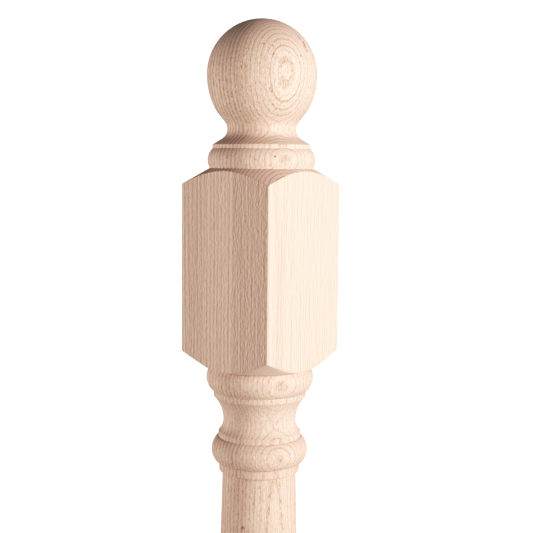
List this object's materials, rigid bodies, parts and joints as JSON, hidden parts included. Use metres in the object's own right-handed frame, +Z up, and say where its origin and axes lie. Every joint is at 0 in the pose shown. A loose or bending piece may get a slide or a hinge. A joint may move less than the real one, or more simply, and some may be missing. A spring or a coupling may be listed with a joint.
{
  "type": "newel post",
  "caption": "Turned solid oak newel post for a stair: ball top, square rail block, ringed and tapered turned shaft, and a square foot block cut flat to stand on.",
  "frame": {"origin": "centre of the square underside, on the floor", "axes": "+Z up the post's turning axis; +X and +Y square to two neighbouring block faces"},
  "size_m": [0.0826, 0.0826, 1.092],
  "materials": {
    "oak": "bare, sanded open-pored oak, glued up from boards, with no stain or varnish"
  },
  "bodies": {
    "root": {"newel_post": "oak"}
  },
  "joints": []
}
